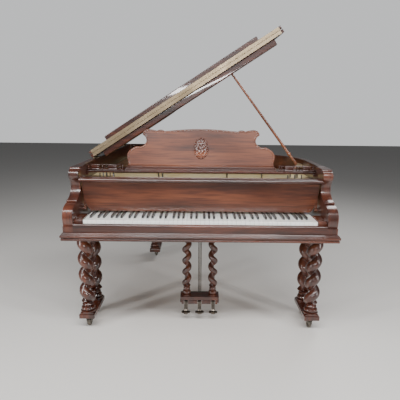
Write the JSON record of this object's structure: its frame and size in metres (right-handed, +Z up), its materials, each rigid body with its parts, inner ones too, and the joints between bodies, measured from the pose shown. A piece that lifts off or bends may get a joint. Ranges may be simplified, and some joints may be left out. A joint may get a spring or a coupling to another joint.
{
  "type": "art case grand piano",
  "caption": "Grand piano in polished mahogany with scrolled arms, barley-twist legs and lyre, shaped music desk and a propped folding lid.",
  "frame": {"origin": "on the floor under the middle of the bounding box", "axes": "+Y from the keyboard to the tail along the length, +X to the player's right, +Z up"},
  "size_m": [1.4472, 1.88, 1.815],
  "materials": {
    "mahogany": "polished, deep gloss",
    "spruce": "satin varnish",
    "plain_maple": "plain satin",
    "gilded_iron": "gold bronze paint",
    "string_steel": "bright drawn",
    "copper_winding": "bright drawn copper",
    "black_felt_head": "black satin",
    "ivory": "polished",
    "ebony": "satin black",
    "brass": "polished, a little aged",
    "dark_pewter": "aged",
    "aged_iron": "dark aged"
  },
  "bodies": {
    "case": {"outer_rim": "mahogany", "inner_rim": "plain_maple", "arm_left": "mahogany", "arm_right": "mahogany", "base_moulding": "mahogany", "keybed": "plain_maple", "key_slip": "mahogany", "key_blocks": "mahogany", "stretcher": "mahogany", "case_braces": "plain_maple", "soundboard": "spruce", "soundboard_ribs": "spruce", "bridges": "plain_maple", "iron_plate": "gilded_iron", "pin_block": "plain_maple", "steel_strings": "string_steel", "copper_strings": "copper_winding", "tuning_pins": "string_steel", "dampers": "black_felt_head", "action": "plain_maple", "white_keys": "ivory", "black_keys": "ebony", "desk_shelf": "mahogany", "side_galleries": "mahogany", "case_hinge_leaves": "brass", "prop_bracket": "brass", "leg_front_left": "mahogany", "leg_front_right": "mahogany", "leg_tail": "mahogany", "lyre": "mahogany"},
    "lid": {"lid_main": "mahogany", "lid_batten": "mahogany", "lid_hinge_leaves": "brass", "prop_cup": "mahogany"},
    "flap": {"lid_flap": "mahogany", "flap_hinge_leaf": "brass"},
    "prop_long": {"prop_long": "mahogany"},
    "prop_short": {"prop_short": "mahogany"},
    "desk": {"desk_panel": "mahogany", "desk_rosette": "mahogany"},
    "fallboard": {"fallboard": "mahogany"},
    "key_c": {"key_c": "ivory"},
    "key_c_sharp": {"key_c_sharp": "ebony"},
    "key_d": {"key_d": "ivory"},
    "pedal_left": {"pedal_left": "dark_pewter"},
    "pedal_rod_left": {"pedal_rod_left": "dark_pewter"},
    "pedal_middle": {"pedal_middle": "dark_pewter"},
    "pedal_rod_middle": {"pedal_rod_middle": "dark_pewter"},
    "pedal_right": {"pedal_right": "dark_pewter"},
    "pedal_rod_right": {"pedal_rod_right": "dark_pewter"},
    "caster_fork_left_front": {"caster_fork_left_front": "aged_iron"},
    "caster_wheel_left_front": {"caster_wheel_left_front": "aged_iron"},
    "caster_fork_left_rear": {"caster_fork_left_rear": "aged_iron"},
    "caster_wheel_left_rear": {"caster_wheel_left_rear": "aged_iron"},
    "caster_fork_right_front": {"caster_fork_right_front": "aged_iron"},
    "caster_wheel_right_front": {"caster_wheel_right_front": "aged_iron"},
    "caster_fork_right_rear": {"caster_fork_right_rear": "aged_iron"},
    "caster_wheel_right_rear": {"caster_wheel_right_rear": "aged_iron"},
    "caster_fork_tail": {"caster_fork_tail": "aged_iron"},
    "caster_wheel_tail": {"caster_wheel_tail": "aged_iron"}
  },
  "joints": [
    {"name": "lid_main_hinge", "type": "hinge", "parent": "case", "child": "lid", "pos_m": [-0.7, 0.11, 1.001], "axis": [0, -1, 0], "range_deg": [0, 50]},
    {"name": "lid_flap_hinge", "type": "hinge", "parent": "lid", "child": "flap", "pos_m": [-0.12298, -0.35, 1.39785], "axis": [0.8406, 0, 0.5417], "range_deg": [0, 180]},
    {"name": "prop_long_pivot", "type": "hinge", "parent": "case", "child": "prop_long", "pos_m": [0.63956, -0.251, 0.955], "axis": [0, -1, 0], "range_deg": [0, 50]},
    {"name": "prop_short_pivot", "type": "hinge", "parent": "case", "child": "prop_short", "pos_m": [0.63956, -0.268, 0.955], "axis": [0, 1, 0], "range_deg": [0, 80]},
    {"name": "desk_hinge", "type": "hinge", "parent": "case", "child": "desk", "pos_m": [0, -0.568, 0.978], "axis": [-1, 0, 0], "range_deg": [0, 70]},
    {"name": "fallboard_hinge", "type": "hinge", "parent": "case", "child": "fallboard", "pos_m": [0, -0.732, 0.764], "axis": [1, 0, 0], "range_deg": [0, 90]},
    {"name": "key_c_press", "type": "hinge", "parent": "case", "child": "key_c", "pos_m": [-0.0589, -0.65, 0.716], "axis": [1, 0, 0], "range_deg": [0, 2.4], "stiffness_Nm_per_rad": 2, "springref_deg": -5.73},
    {"name": "key_c_sharp_press", "type": "hinge", "parent": "case", "child": "key_c_sharp", "pos_m": [-0.04972, -0.65, 0.716], "axis": [1, 0, 0], "range_deg": [0, 2.4], "stiffness_Nm_per_rad": 2, "springref_deg": -5.73},
    {"name": "key_d_press", "type": "hinge", "parent": "case", "child": "key_d", "pos_m": [-0.03534, -0.65, 0.716], "axis": [1, 0, 0], "range_deg": [0, 2.4], "stiffness_Nm_per_rad": 2, "springref_deg": -5.73},
    {"name": "pedal_left_press", "type": "hinge", "parent": "case", "child": "pedal_left", "pos_m": [-0.086, -0.522, 0.115], "axis": [1, 0, 0], "range_deg": [0, 5], "stiffness_Nm_per_rad": 30, "springref_deg": -5.73},
    {"name": "pedal_rod_left_lift", "type": "slide", "parent": "case", "child": "pedal_rod_left", "axis": [0, 0, 1], "range_m": [0, 0.0022]},
    {"name": "pedal_middle_press", "type": "hinge", "parent": "case", "child": "pedal_middle", "pos_m": [0, -0.522, 0.115], "axis": [1, 0, 0], "range_deg": [0, 5], "stiffness_Nm_per_rad": 30, "springref_deg": -5.73},
    {"name": "pedal_rod_middle_lift", "type": "slide", "parent": "case", "child": "pedal_rod_middle", "axis": [0, 0, 1], "range_m": [0, 0.0022]},
    {"name": "pedal_right_press", "type": "hinge", "parent": "case", "child": "pedal_right", "pos_m": [0.086, -0.522, 0.115], "axis": [1, 0, 0], "range_deg": [0, 5], "stiffness_Nm_per_rad": 30, "springref_deg": -5.73},
    {"name": "pedal_rod_right_lift", "type": "slide", "parent": "case", "child": "pedal_rod_right", "axis": [0, 0, 1], "range_m": [0, 0.0022]},
    {"name": "caster_swivel_left_front", "type": "hinge", "parent": "case", "child": "caster_fork_left_front", "pos_m": [-0.67606, -0.66, 0.07], "axis": [0, 0, 1], "continuous": true},
    {"name": "caster_spin_left_front", "type": "hinge", "parent": "caster_fork_left_front", "child": "caster_wheel_left_front", "pos_m": [-0.67606, -0.643, 0.027], "axis": [1, 0, 0], "continuous": true},
    {"name": "caster_swivel_left_rear", "type": "hinge", "parent": "case", "child": "caster_fork_left_rear", "pos_m": [-0.67606, -0.485, 0.07], "axis": [0, 0, 1], "continuous": true},
    {"name": "caster_spin_left_rear", "type": "hinge", "parent": "caster_fork_left_rear", "child": "caster_wheel_left_rear", "pos_m": [-0.67606, -0.468, 0.027], "axis": [1, 0, 0], "continuous": true},
    {"name": "caster_swivel_right_front", "type": "hinge", "parent": "case", "child": "caster_fork_right_front", "pos_m": [0.67606, -0.66, 0.07], "axis": [0, 0, 1], "continuous": true},
    {"name": "caster_spin_right_front", "type": "hinge", "parent": "caster_fork_right_front", "child": "caster_wheel_right_front", "pos_m": [0.67606, -0.643, 0.027], "axis": [1, 0, 0], "continuous": true},
    {"name": "caster_swivel_right_rear", "type": "hinge", "parent": "case", "child": "caster_fork_right_rear", "pos_m": [0.67606, -0.485, 0.07], "axis": [0, 0, 1], "continuous": true},
    {"name": "caster_spin_right_rear", "type": "hinge", "parent": "caster_fork_right_rear", "child": "caster_wheel_right_rear", "pos_m": [0.67606, -0.468, 0.027], "axis": [1, 0, 0], "continuous": true},
    {"name": "caster_swivel_tail", "type": "hinge", "parent": "case", "child": "caster_fork_tail", "pos_m": [-0.40006, 0.59, 0.07], "axis": [0, 0, 1], "continuous": true},
    {"name": "caster_spin_tail", "type": "hinge", "parent": "caster_fork_tail", "child": "caster_wheel_tail", "pos_m": [-0.40006, 0.607, 0.027], "axis": [1, 0, 0], "continuous": true}
  ],
  "couplings": [
    {"joint": "pedal_rod_left_lift", "follows": "pedal_left_press", "m_per_rad": 0.024},
    {"joint": "pedal_rod_middle_lift", "follows": "pedal_middle_press", "m_per_rad": 0.024},
    {"joint": "pedal_rod_right_lift", "follows": "pedal_right_press", "m_per_rad": 0.024}
  ]
}
